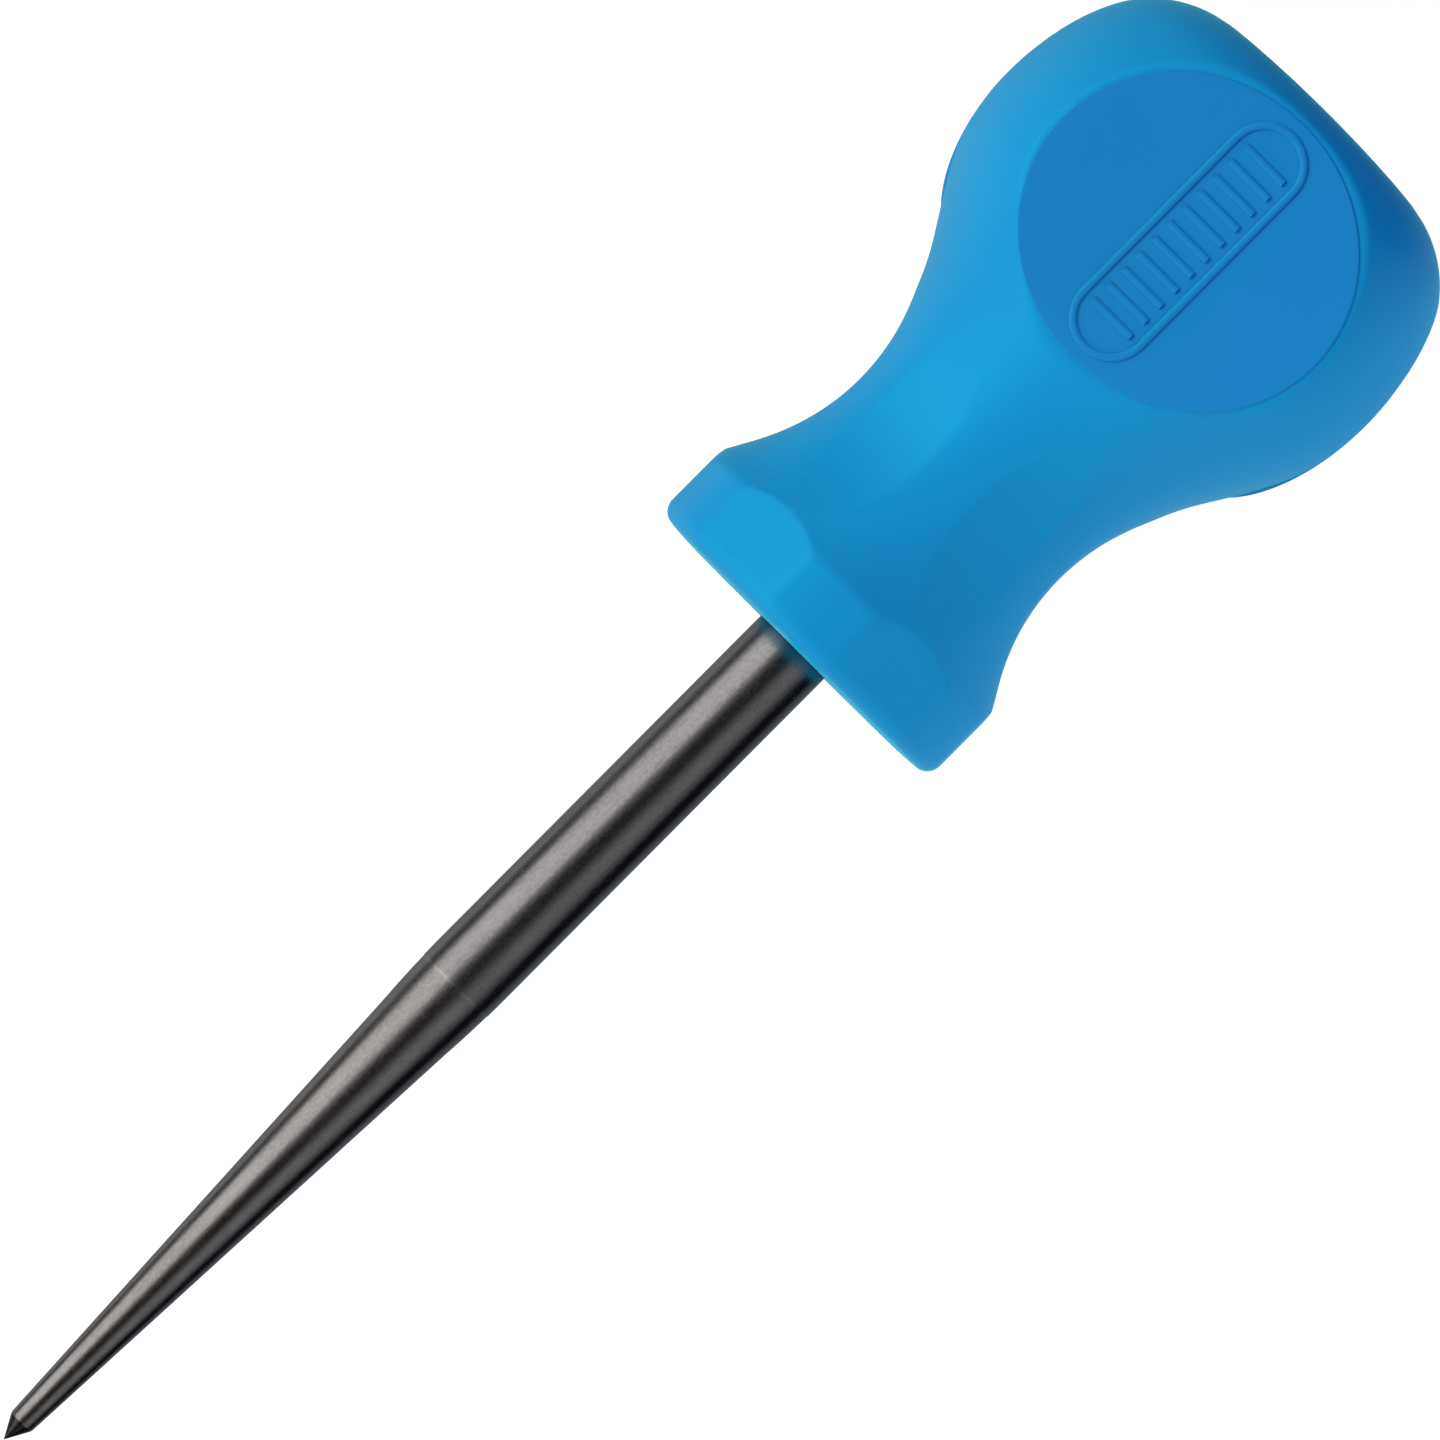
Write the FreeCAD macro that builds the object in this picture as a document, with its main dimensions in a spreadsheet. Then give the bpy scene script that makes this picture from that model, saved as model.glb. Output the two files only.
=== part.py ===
"""Scratch awl: a tapered steel blade in a stubby plastic handle made in two shots.

Millimetres. The tool's axis is X: the point is towards -X and the butt towards +X.
The origin is the centre of the collar's front face, where the blade leaves the handle.
The tool lies on one of the three round faces of its bulb, so that face looks along -Z.
"""

import FreeCAD, Part
import math
import os
import Sketcher

doc = FreeCAD.newDocument("scratch_awl")

# ---------------------------------------------------------------- driving dimensions

DIMENSIONS = {
    # blade, measured forward from the collar's front face
    "blade_reach": 88.9,  # face to point
    "shank_radius": 3.572,  # 9/32 in bar
    "shank_length": 36.0,  # round stretch in front of the collar
    "blend_length": 6.4,  # bar eases into the taper over this
    "taper_root_radius": 3.315,
    "taper_end_radius": 1.125,
    "point_length": 2.0,
    "tang_length": 44.0,  # the bar's length inside the handle
    "tang_radius": 3.2,  # the shank's shoulder is at the collar's front face
    "tang_chamfer": 1.0,
    "wing_count": 4,
    "wing_reach": 5.1,  # axis to the crest of a wing
    "wing_start": 27.0,
    "wing_length": 9.0,
    "wing_thickness": 2.0,
    "wing_slope": 1.6,  # length of the ramp at each end of a wing
    # outside of the handle
    "handle_length": 59.95,
    "collar_radius": 15.6,
    "collar_edge": 1.4,  # round edge of the front face, flats and lands alike
    "face_flat_radius": 10.5,  # the front face is flat this far out, then falls back
    "face_curve": 45.0,
    "neck_place": 19.1,
    "neck_radius": 11.7,
    "neck_curve": 22.8,
    "bulb_place": 44.2,
    "bulb_radius": 20.6,
    "bulb_front_curve": 15.0,
    "butt_edge": 10.0,
    "crown_curve": 110.0,
    # flats and faces cut into it
    "flat_count": 6,
    "flat_distance": 14.9,  # axis to each flat of the collar
    "flat_width": 15.7,  # wider than the strip that the cut leaves
    "flat_depth": 12.0,  # how far back the collar's cut runs
    "scoop_place": 18.8,
    "scoop_distance": 11.16,  # axis to the deepest line of each scoop
    "scoop_curve": 18.3,
    "scoop_width": 23.4,  # wider than the strip that the cut leaves
    "face_count": 3,
    "face_distance": 14.9,  # axis to the plane cut on the bulb
    "face_edge": 0.5,  # round edge between that plane and the bulb
    "face_cut_start": 24.0,  # where the cut begins, clear of the collar
    "cut_margin": 1.0,  # how far a cut runs out past the round surface
    # rigid core
    "core_radius": 8.0,
    "core_bulb_radius": 17.0,
    "core_flank_curve": 14.0,
    "core_end": 56.4,
    "core_end_edge": 2.0,
    "pad_rise": 0.15,  # a pad stands this far out of the plane around it
    "pad_edge": 0.1,
    "pad_place": 44.4,
    "pad_half_length": 12.95,
    "pad_half_width": 13.95,
    "pad_root": 6.0,  # axis to the inner end of a pad
}

sheet = doc.addObject("Spreadsheet::Sheet", "Dimensions")
for row, (word, value) in enumerate(DIMENSIONS.items(), start=1):
    sheet.set(f"A{row}", word)
    sheet.set(f"B{row}", str(value))
    sheet.setAlias(f"B{row}", word)
doc.recompute()


def cell(word):
    """A dimension as the sheet holds it."""
    return float(sheet.get(word))


# ---------------------------------------------------------------- drawing helpers

ROOT = (-1, 1)  # a sketch's own origin, as Sketcher numbers it
H_AXIS, V_AXIS = -1, -2
START, END, CENTRE = 1, 2, 3


def new_body(name):
    body = doc.addObject("PartDesign::Body", name)
    body.Label = name
    return body


def origin_feature(body, role):
    return next(f for f in body.Origin.OriginFeatures if f.Role == role)


def new_sketch(body, name, plane):
    sketch = body.newObject("Sketcher::SketchObject", name)
    sketch.AttachmentSupport = [(origin_feature(body, plane), "")]
    sketch.MapMode = "FlatFace"
    return sketch


def size(sketch, kind, *where, drive):
    """Adds a dimension to a sketch and lets an expression on the sheet drive it."""
    index = sketch.addConstraint(Sketcher.Constraint(kind, *where))
    sketch.setExpression(f"Constraints[{index}]", drive)


def place(sketch, item, point, across, up=None):
    """Ties a point to the sketch's origin. Without a drive for its height it lies on the axis."""
    x = sketch.getPoint(item, point).x
    size(sketch, "DistanceX", *ROOT, item, point, x, drive=across)
    if up is None:
        sketch.addConstraint(Sketcher.Constraint("PointOnObject", item, point, H_AXIS))
    else:
        y = sketch.getPoint(item, point).y
        size(sketch, "DistanceY", *ROOT, item, point, y, drive=up)


def vector(x, y):
    return FreeCAD.Vector(x, y, 0)


def polyline(sketch, points):
    """A closed outline of straight lines. Returns the index of each line."""
    lines = []
    for start, end in zip(points, points[1:] + points[:1]):
        lines.append(sketch.addGeometry(Part.LineSegment(vector(*start), vector(*end)), False))
    for line, after in zip(lines, lines[1:] + lines[:1]):
        sketch.addConstraint(Sketcher.Constraint("Coincident", line, END, after, START))
    return lines


def arc_between(centre, start, end):
    """The arc about a centre from one point to another, the short way round."""
    radius = math.dist(centre, start)
    middle = [(a + b) / 2 - c for a, b, c in zip(start, end, centre)]
    reach = math.hypot(*middle)
    crest = [c + m * radius / reach for c, m in zip(centre, middle)]
    return Part.Arc(vector(*start), vector(*crest), vector(*end))


def towards(start, end, reach):
    """The point that lies a given reach from start on the way to end."""
    share = reach / math.dist(start, end)
    return tuple(a + (b - a) * share for a, b in zip(start, end))


def circles_meet(one, radius_one, two, radius_two):
    """Where two circles cross, on the side away from the axis."""
    apart = math.dist(one, two)
    along = (apart**2 + radius_one**2 - radius_two**2) / (2 * apart)
    off = math.sqrt(radius_one**2 - along**2)
    x, y = ((b - a) / apart for a, b in zip(one, two))
    crossings = [(one[0] + along * x - side * y, one[1] + along * y + side * x) for side in (off, -off)]
    return max(crossings, key=lambda p: p[1])


def revolve(body, sketch, name):
    feature = body.newObject("PartDesign::Revolution", name)
    feature.Profile = sketch
    feature.ReferenceAxis = (sketch, ["H_Axis"])
    feature.Angle = 360.0
    return feature


def polar(body, name, features, drive):
    """Repeats features about the tool's axis, as often as the sheet says."""
    pattern = body.newObject("PartDesign::PolarPattern", name)
    pattern.Originals = features
    pattern.Axis = (origin_feature(body, "X_Axis"), [""])
    pattern.Angle = 360.0
    pattern.setExpression("Occurrences", drive)
    body.Tip = pattern
    return pattern


def pocket(body, sketch, name, drive, through_middle):
    """Cuts a sketch out of the body, both ways or along the sketch's normal."""
    doc.recompute()
    before = body.Shape.Volume
    cut = body.newObject("PartDesign::Pocket", name)
    cut.Profile = sketch
    cut.Midplane = through_middle
    cut.Reversed = not through_middle
    cut.setExpression("Length", drive)
    doc.recompute()
    if not body.Shape.Volume < before:
        raise ValueError(f"{name} cuts nothing")
    return cut


# ---------------------------------------------------------------- blade


def make_blade():
    """One piece of steel: point, taper, round shank, and a winged tang in the handle."""
    body = new_body("blade")
    outline = new_sketch(body, "blade_outline", "XZ_Plane")
    shank, tang = cell("shank_radius"), cell("tang_radius")
    reach, tang_end, chamfer = cell("blade_reach"), cell("tang_length"), cell("tang_chamfer")
    taper_start = (cell("point_length") - reach, cell("taper_end_radius"))
    taper_root = (-cell("shank_length") - cell("blend_length"), cell("taper_root_radius"))
    shank_start = (-cell("shank_length"), shank)
    corners = [
        (-reach, 0),
        taper_start,
        taper_root,
        shank_start,
        (0, shank),
        (0, tang),
        (tang_end - chamfer, tang),
        (tang_end, tang - chamfer),
        (tang_end, 0),
    ]
    sides = zip(corners, corners[1:] + corners[:1])
    segments = [Part.LineSegment(vector(*start), vector(*end)) for start, end in sides]
    point, taper, ease, bar, shoulder, stem, bevel, end, axis = range(len(segments))
    # The bar eases into the taper on an arc that leaves the bar in line with it.
    drop, run = shank - cell("taper_root_radius"), cell("blend_length")
    ease_radius = (run**2 + drop**2) / (2 * drop)
    ease_centre = (shank_start[0], shank - ease_radius)
    segments[ease] = arc_between(ease_centre, taper_root, shank_start)
    for segment in segments:
        outline.addGeometry(segment, False)
    # Part.Arc runs anticlockwise, so the easing arc starts at the bar.
    joints = [
        (point, END, taper, START),
        (taper, END, ease, END),
        (ease, START, bar, START),
        (bar, END, shoulder, START),
        (shoulder, END, stem, START),
        (stem, END, bevel, START),
        (bevel, END, end, START),
        (end, END, axis, START),
        (axis, END, point, START),
    ]
    for joint in joints:
        kind = "Tangent" if joint[:3:2] == (ease, bar) else "Coincident"
        outline.addConstraint(Sketcher.Constraint(kind, *joint))
    place(outline, point, START, across="-Dimensions.blade_reach")
    place(outline, end, END, across="Dimensions.tang_length")
    for line in (bar, stem):
        outline.addConstraint(Sketcher.Constraint("Horizontal", line))
    for line in (shoulder, end):
        outline.addConstraint(Sketcher.Constraint("Vertical", line))
    outline.addConstraint(Sketcher.Constraint("PointOnObject", shoulder, START, V_AXIS))
    size(outline, "DistanceY", *ROOT, stem, START, tang, drive="Dimensions.tang_radius")
    place(
        outline,
        point,
        END,
        across="Dimensions.point_length - Dimensions.blade_reach",
        up="Dimensions.taper_end_radius",
    )
    place(
        outline,
        taper,
        END,
        across="-Dimensions.shank_length - Dimensions.blend_length",
        up="Dimensions.taper_root_radius",
    )
    place(outline, bar, START, across="-Dimensions.shank_length", up="Dimensions.shank_radius")
    size(outline, "DistanceX", bevel, START, bevel, END, chamfer, drive="Dimensions.tang_chamfer")
    size(outline, "DistanceY", bevel, END, bevel, START, chamfer, drive="Dimensions.tang_chamfer")
    revolve(body, outline, "blade_bar")

    wing_outline = new_sketch(body, "wing_outline", "XZ_Plane")
    start, length = cell("wing_start"), cell("wing_length")
    slope, crest = cell("wing_slope"), cell("wing_reach")
    lines = polyline(
        wing_outline,
        [(start, 0), (start + slope, crest), (start + length - slope, crest), (start + length, 0)],
    )
    place(wing_outline, lines[0], START, across="Dimensions.wing_start")
    place(wing_outline, lines[2], END, across="Dimensions.wing_start + Dimensions.wing_length")
    place(
        wing_outline,
        lines[1],
        START,
        across="Dimensions.wing_start + Dimensions.wing_slope",
        up="Dimensions.wing_reach",
    )
    place(
        wing_outline,
        lines[1],
        END,
        across="Dimensions.wing_start + Dimensions.wing_length - Dimensions.wing_slope",
        up="Dimensions.wing_reach",
    )
    wing = body.newObject("PartDesign::Pad", "wing")
    wing.Profile = wing_outline
    wing.Midplane = True
    wing.setExpression("Length", "Dimensions.wing_thickness")
    polar(body, "wings", [wing], "Dimensions.wing_count")
    return body


# ---------------------------------------------------------------- outside of the handle


def handle_outline(sketch):
    """Half of the handle's lengthwise section: collar, waist, bulb and crowned butt."""
    length, collar, waist = cell("handle_length"), cell("collar_radius"), cell("neck_curve")
    front, rear = cell("bulb_front_curve"), cell("bulb_radius")
    corner, crown = cell("butt_edge"), cell("crown_curve")
    waist_centre = (cell("neck_place"), cell("neck_radius") + waist)
    front_centre = (cell("bulb_place"), rear - front)
    rear_centre = (cell("bulb_place"), 0)
    crown_centre = (length - crown, 0)
    corner_centre = circles_meet(crown_centre, crown - corner, rear_centre, rear - corner)

    flat, bow = cell("face_flat_radius"), cell("face_curve")
    face_centre = (bow, flat)
    front_corner = (bow - math.sqrt(bow**2 - (collar - flat) ** 2), collar)
    drop = waist_centre[1] - collar
    shoulder = (waist_centre[0] - math.sqrt(waist**2 - drop**2), collar)
    # The flank is the line that touches both the waist's circle and the bulb's.
    apart = math.dist(waist_centre, front_centre)
    lean = math.atan2(front_centre[1] - waist_centre[1], front_centre[0] - waist_centre[0])
    turn = lean - math.acos((waist + front) / apart)
    ray = (math.cos(turn), math.sin(turn))
    flank_start = tuple(c + waist * r for c, r in zip(waist_centre, ray))
    flank_end = tuple(c - front * r for c, r in zip(front_centre, ray))
    crest = (cell("bulb_place"), rear)
    corner_start = towards(rear_centre, corner_centre, rear)
    corner_end = towards(crown_centre, corner_centre, crown)

    pieces = [
        Part.LineSegment(vector(0, 0), vector(0, flat)),
        arc_between(face_centre, (0, flat), front_corner),
        Part.LineSegment(vector(*front_corner), vector(*shoulder)),
        arc_between(waist_centre, shoulder, flank_start),
        Part.LineSegment(vector(*flank_start), vector(*flank_end)),
        arc_between(front_centre, flank_end, crest),
        arc_between(rear_centre, crest, corner_start),
        arc_between(corner_centre, corner_start, corner_end),
        arc_between(crown_centre, corner_end, (length, 0)),
        Part.LineSegment(vector(length, 0), vector(0, 0)),
    ]
    for piece in pieces:
        sketch.addGeometry(piece, False)
    face, dish, land, neck, flank, rise, fall, turn_in, butt, axis = range(len(pieces))
    # An arc that runs clockwise along the outline is stored from its far end.
    clockwise = {dish, rise, fall, turn_in, butt}

    def first(item):
        return END if item in clockwise else START

    def last(item):
        return START if item in clockwise else END

    smooth = {(face, dish), (neck, flank), (flank, rise), (rise, fall), (fall, turn_in), (turn_in, butt)}
    chain = list(range(len(pieces)))
    for item, after in zip(chain, chain[1:] + chain[:1]):
        kind = "Tangent" if (item, after) in smooth else "Coincident"
        sketch.addConstraint(Sketcher.Constraint(kind, item, last(item), after, first(after)))
    sketch.addConstraint(Sketcher.Constraint("Coincident", face, START, *ROOT))
    sketch.addConstraint(Sketcher.Constraint("Vertical", face))
    sketch.addConstraint(Sketcher.Constraint("Horizontal", land))
    size(sketch, "DistanceY", *ROOT, face, END, flat, drive="Dimensions.face_flat_radius")
    size(sketch, "Radius", dish, bow, drive="Dimensions.face_curve")
    size(sketch, "DistanceY", *ROOT, land, START, collar, drive="Dimensions.collar_radius")
    size(sketch, "Radius", neck, waist, drive="Dimensions.neck_curve")
    place(
        sketch,
        neck,
        CENTRE,
        across="Dimensions.neck_place",
        up="Dimensions.neck_radius + Dimensions.neck_curve",
    )
    place(sketch, fall, CENTRE, across="Dimensions.bulb_place")
    size(sketch, "Radius", fall, rear, drive="Dimensions.bulb_radius")
    sketch.addConstraint(Sketcher.Constraint("Vertical", fall, CENTRE, rise, CENTRE))
    size(sketch, "Radius", rise, front, drive="Dimensions.bulb_front_curve")
    size(sketch, "Radius", turn_in, corner, drive="Dimensions.butt_edge")
    size(sketch, "Radius", butt, crown, drive="Dimensions.crown_curve")
    sketch.addConstraint(Sketcher.Constraint("PointOnObject", butt, CENTRE, H_AXIS))
    place(sketch, butt, first(axis), across="Dimensions.handle_length")


def make_envelope():
    """The whole handle as one solid, before it is parted into its two shots."""
    body = new_body("handle_envelope")
    outline = new_sketch(body, "handle_outline", "XZ_Plane")
    handle_outline(outline)
    revolve(body, outline, "handle_turned")

    # The flats sit in line with the scoops, and one of them looks along +Y.
    flat = new_sketch(body, "flat_outline", "YZ_Plane")
    near, far = cell("flat_distance"), cell("collar_radius") + cell("cut_margin")
    half = cell("flat_width") / 2
    lines = polyline(flat, [(near, -half), (far, -half), (far, half), (near, half)])
    place(flat, lines[0], START, across="Dimensions.flat_distance", up="-Dimensions.flat_width / 2")
    place(
        flat,
        lines[2],
        START,
        across="Dimensions.collar_radius + Dimensions.cut_margin",
        up="Dimensions.flat_width / 2",
    )
    square(flat, lines)
    flat_cut = pocket(body, flat, "flat_cut", "Dimensions.flat_depth", through_middle=False)

    scoop = new_sketch(body, "scoop_outline", "XY_Plane")
    centre = (cell("scoop_place"), cell("scoop_distance") + cell("scoop_curve"))
    scoop.addGeometry(Part.Circle(vector(*centre), FreeCAD.Vector(0, 0, 1), cell("scoop_curve")), False)
    size(scoop, "Radius", 0, cell("scoop_curve"), drive="Dimensions.scoop_curve")
    place(
        scoop,
        0,
        CENTRE,
        across="Dimensions.scoop_place",
        up="Dimensions.scoop_distance + Dimensions.scoop_curve",
    )
    scoop_cut = pocket(body, scoop, "scoop_cut", "Dimensions.scoop_width", through_middle=True)
    polar(body, "flats_and_scoops", [flat_cut, scoop_cut], "Dimensions.flat_count")

    cut_faces(body, "round_faces", "Dimensions.face_distance")
    round_off(body, "face_rims", face_rims, cell("face_count"), "Dimensions.face_edge")
    # The collar's front edge runs round its flats and its lands in turn.
    round_off(body, "collar_rim", front_edges, 2 * cell("flat_count"), "Dimensions.collar_edge")
    return body


def front_edges(shape):
    """The names of the edges that bound the collar's front face."""
    # The seam of the face starts at its flat middle, and the edges lie further out.
    seam_middle = (cell("face_flat_radius") + cell("collar_radius")) / 2
    names = []
    for number, edge in enumerate(shape.Edges, start=1):
        inner = min(math.hypot(end.Y, end.Z) for end in edge.Vertexes)
        if edge.BoundBox.XMax < cell("collar_edge") and inner > seam_middle:
            names.append(f"Edge{number}")
    return names


def face_rims(shape):
    """The names of the edges that bound the planes cut on the bulb."""
    rims = []
    for face in shape.Faces:
        if isinstance(face.Surface, Part.Plane) and face.CenterOfMass.x > cell("face_cut_start"):
            rims.extend(face.Edges)
    names = []
    for number, edge in enumerate(shape.Edges, start=1):
        if any(edge.isSame(rim) for rim in rims):
            names.append(f"Edge{number}")
    return names


def round_off(body, name, find, count, drive):
    """Rounds the edges that a function finds on the body. A seam may split one in two."""
    doc.recompute()
    square_edged = body.Tip
    edges = find(square_edged.Shape)
    if len(edges) < count:
        raise ValueError(f"{name} found only {len(edges)} edges")
    rounded = body.newObject("PartDesign::Fillet", name)
    rounded.Base = (square_edged, edges)
    rounded.setExpression("Radius", drive)
    body.Tip = rounded


def cut_faces(body, name, drive):
    """Cuts the bulb back to a plane in each of the directions that a round face looks."""
    outline = new_sketch(body, f"{name}_outline", "XZ_Plane")
    start, end = cell("face_cut_start"), cell("handle_length")
    top, bottom = -cell("face_distance"), -cell("bulb_radius") - cell("cut_margin")
    lines = polyline(outline, [(start, bottom), (end, bottom), (end, top), (start, top)])
    place(
        outline,
        lines[0],
        START,
        across="Dimensions.face_cut_start",
        up="-Dimensions.bulb_radius - Dimensions.cut_margin",
    )
    place(outline, lines[2], START, across="Dimensions.handle_length", up=f"-({drive})")
    square(outline, lines)
    cut = pocket(body, outline, f"{name}_cut", "2 * Dimensions.bulb_radius", through_middle=True)
    polar(body, name, [cut], "Dimensions.face_count")


def square(sketch, lines):
    """Makes a four-sided outline a rectangle."""
    for kind, line in zip(("Horizontal", "Vertical") * 2, lines):
        sketch.addConstraint(Sketcher.Constraint(kind, line))


# ---------------------------------------------------------------- rigid core


def core_outline(sketch):
    """Half of the core's section: a round stem that swells into a ball with a cut end."""
    stem, ball, flank = cell("core_radius"), cell("core_bulb_radius"), cell("core_flank_curve")
    end, edge = cell("core_end"), cell("core_end_edge")
    ball_centre = (cell("bulb_place"), 0)
    rise = stem + flank
    flank_centre = (ball_centre[0] - math.sqrt((ball + flank) ** 2 - rise**2), rise)
    flank_end = towards(ball_centre, flank_centre, ball)
    # The end's rounded edge touches the ball from inside and the flat end.
    edge_x = end - edge
    edge_y = math.sqrt((ball - edge) ** 2 - (edge_x - ball_centre[0]) ** 2)
    edge_start = towards(ball_centre, (edge_x, edge_y), ball)
    pieces = [
        Part.LineSegment(vector(0, 0), vector(0, stem)),
        Part.LineSegment(vector(0, stem), vector(flank_centre[0], stem)),
        arc_between(flank_centre, (flank_centre[0], stem), flank_end),
        arc_between(ball_centre, flank_end, edge_start),
        arc_between((edge_x, edge_y), edge_start, (end, edge_y)),
        Part.LineSegment(vector(end, edge_y), vector(end, 0)),
        Part.LineSegment(vector(end, 0), vector(0, 0)),
    ]
    for piece in pieces:
        sketch.addGeometry(piece, False)
    face, side, sweep, bulb, rim, back, axis = range(len(pieces))
    clockwise = {bulb, rim}
    smooth = {(side, sweep), (sweep, bulb), (bulb, rim), (rim, back)}
    chain = list(range(len(pieces)))
    for item, after in zip(chain, chain[1:] + chain[:1]):
        kind = "Tangent" if (item, after) in smooth else "Coincident"
        leaves = START if item in clockwise else END
        arrives = END if after in clockwise else START
        sketch.addConstraint(Sketcher.Constraint(kind, item, leaves, after, arrives))
    sketch.addConstraint(Sketcher.Constraint("Coincident", face, START, *ROOT))
    sketch.addConstraint(Sketcher.Constraint("Vertical", face))
    sketch.addConstraint(Sketcher.Constraint("Vertical", back))
    sketch.addConstraint(Sketcher.Constraint("Horizontal", side))
    size(sketch, "DistanceY", *ROOT, side, START, stem, drive="Dimensions.core_radius")
    size(sketch, "Radius", sweep, flank, drive="Dimensions.core_flank_curve")
    size(sketch, "Radius", bulb, ball, drive="Dimensions.core_bulb_radius")
    size(sketch, "Radius", rim, edge, drive="Dimensions.core_end_edge")
    place(sketch, bulb, CENTRE, across="Dimensions.bulb_place")
    place(sketch, back, END, across="Dimensions.core_end")


def make_core():
    """The first shot, moulded on the tang, with the three round pads standing on it."""
    body = new_body("core_solid")
    outline = new_sketch(body, "core_outline", "XZ_Plane")
    core_outline(outline)
    revolve(body, outline, "core_turned")

    oval = new_sketch(body, "pad_outline", "XY_Plane")
    oval.setExpression(".AttachmentOffset.Base.z", "-Dimensions.pad_root")
    middle = vector(cell("pad_place"), 0)
    across = middle + vector(0, cell("pad_half_width"))
    along = middle + vector(cell("pad_half_length"), 0)
    oval.addGeometry(Part.Ellipse(across, along, middle), False)
    oval.exposeInternalGeometry(0)
    ellipse, major, minor = 0, 1, 2
    place(oval, ellipse, CENTRE, across="Dimensions.pad_place")
    oval.addConstraint(Sketcher.Constraint("Vertical", major))
    size(oval, "Distance", major, 2 * cell("pad_half_width"), drive="2 * Dimensions.pad_half_width")
    size(oval, "Distance", minor, 2 * cell("pad_half_length"), drive="2 * Dimensions.pad_half_length")
    pad = body.newObject("PartDesign::Pad", "pad")
    pad.Profile = oval
    pad.Reversed = True
    pad.setExpression("Length", "Dimensions.face_distance + Dimensions.pad_rise - Dimensions.pad_root")
    polar(body, "pads", [pad], "Dimensions.face_count")
    cut_faces(body, "pad_faces", "Dimensions.face_distance + Dimensions.pad_rise")
    round_off(body, "pad_rims", pad_rims, cell("face_count"), "Dimensions.pad_edge")
    return body


def pad_rims(shape):
    """The names of the edges that bound the pads' outer faces."""
    top = cell("face_distance") + cell("pad_rise")
    names = []
    for number, edge in enumerate(shape.Edges, start=1):
        middle = edge.BoundBox.Center
        off = math.dist((math.hypot(middle.y, middle.z), middle.x), (top, cell("pad_place")))
        if off < cell("pad_edge"):
            names.append(f"Edge{number}")
    return names


# ---------------------------------------------------------------- assembly


def cut_away(name, base, tool):
    """A sub-part that is one solid less another."""
    piece = doc.addObject("Part::Cut", name)
    piece.Base = base
    piece.Tool = tool
    piece.Label = name
    return piece


blade = make_blade()
envelope = make_envelope()
core = make_core()
doc.recompute()
handle_core = cut_away("handle_core", core, blade)
grip_sleeve = cut_away("grip_sleeve", envelope, core)
doc.recompute()

failed = [o.Name for o in doc.Objects if {"Invalid", "Error"} & set(o.State)]
if failed:
    raise RuntimeError(f"these objects failed: {failed}")

os.makedirs("parts", exist_ok=True)
for piece in (blade, handle_core, grip_sleeve):
    piece.Placement = FreeCAD.Placement()
    shape = piece.Shape
    if shape.isNull() or not shape.isValid() or len(shape.Solids) != 1:
        raise RuntimeError(f"{piece.Label} is not one valid solid")
    shape.exportStep(f"parts/{piece.Label}.step")
    box = shape.BoundBox
    print(
        f"{piece.Label}: {shape.Volume / 1000:.2f} cm3,"
        f" x {box.XMin:.2f}..{box.XMax:.2f}, y {box.YMin:.2f}..{box.YMax:.2f},"
        f" z {box.ZMin:.2f}..{box.ZMax:.2f}"
    )
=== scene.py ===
"""Looks of the scratch awl: ground steel blade, soft-touch blue grip, rigid blue core with round pads.

Metres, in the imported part's own frame: the tool's axis is X, the point towards -X, the butt towards +X,
and the origin the centre of the collar's front face.
"""

import math

import bmesh
import bpy
import numpy as np
from mathutils import Matrix, Vector


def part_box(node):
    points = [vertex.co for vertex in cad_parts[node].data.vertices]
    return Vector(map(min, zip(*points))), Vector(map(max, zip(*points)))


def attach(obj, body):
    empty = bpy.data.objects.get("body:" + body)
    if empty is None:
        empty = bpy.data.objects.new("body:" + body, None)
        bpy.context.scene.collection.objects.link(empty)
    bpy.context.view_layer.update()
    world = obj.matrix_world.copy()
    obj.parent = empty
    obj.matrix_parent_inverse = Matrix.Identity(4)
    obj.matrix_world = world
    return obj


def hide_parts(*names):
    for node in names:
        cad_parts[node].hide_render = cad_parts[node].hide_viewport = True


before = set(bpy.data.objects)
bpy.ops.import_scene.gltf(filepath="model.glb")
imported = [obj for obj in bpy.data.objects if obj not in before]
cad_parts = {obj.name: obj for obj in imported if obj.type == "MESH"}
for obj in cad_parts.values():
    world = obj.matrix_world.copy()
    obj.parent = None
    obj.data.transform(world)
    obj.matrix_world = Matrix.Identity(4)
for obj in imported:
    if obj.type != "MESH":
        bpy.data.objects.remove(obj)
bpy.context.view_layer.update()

MM = 0.001

# ---------------------------------------------------------------- sizes, in millimetres

BLADE = {
    "reach": 88.9,
    "point": 2.0,
    "point_radius": 1.125,
    "taper_root": 42.4,
    "taper_radius": 3.315,
    "shank": 36.0,
    "shank_radius": 3.572,
    "grind_line": 38.0,
    "tang": 44.0,
    "tang_radius": 3.2,
    "tang_chamfer": 1.0,
}
WING = {"count": 4, "start": 27.0, "length": 9.0, "reach": 5.1, "thick": 2.0, "slope": 1.6}
HANDLE = {
    "length": 59.95,
    "collar": 15.6,
    "rim": 1.4,
    "face_flat": 10.5,
    "face_curve": 45.0,
    "neck_place": 19.1,
    "neck_radius": 11.7,
    "neck_curve": 22.8,
    "bulb_place": 44.2,
    "bulb_radius": 20.6,
    "bulb_front": 15.0,
    "butt_edge": 10.0,
    "crown": 110.0,
}
FLAT = {"count": 6, "distance": 14.9, "end": 12.0}
SCOOP = {"place": 18.8, "distance": 11.16, "curve": 18.3}
FACE = {"turns": (-90.0, 30.0, 150.0), "distance": 14.9, "start": 24.0}
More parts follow.
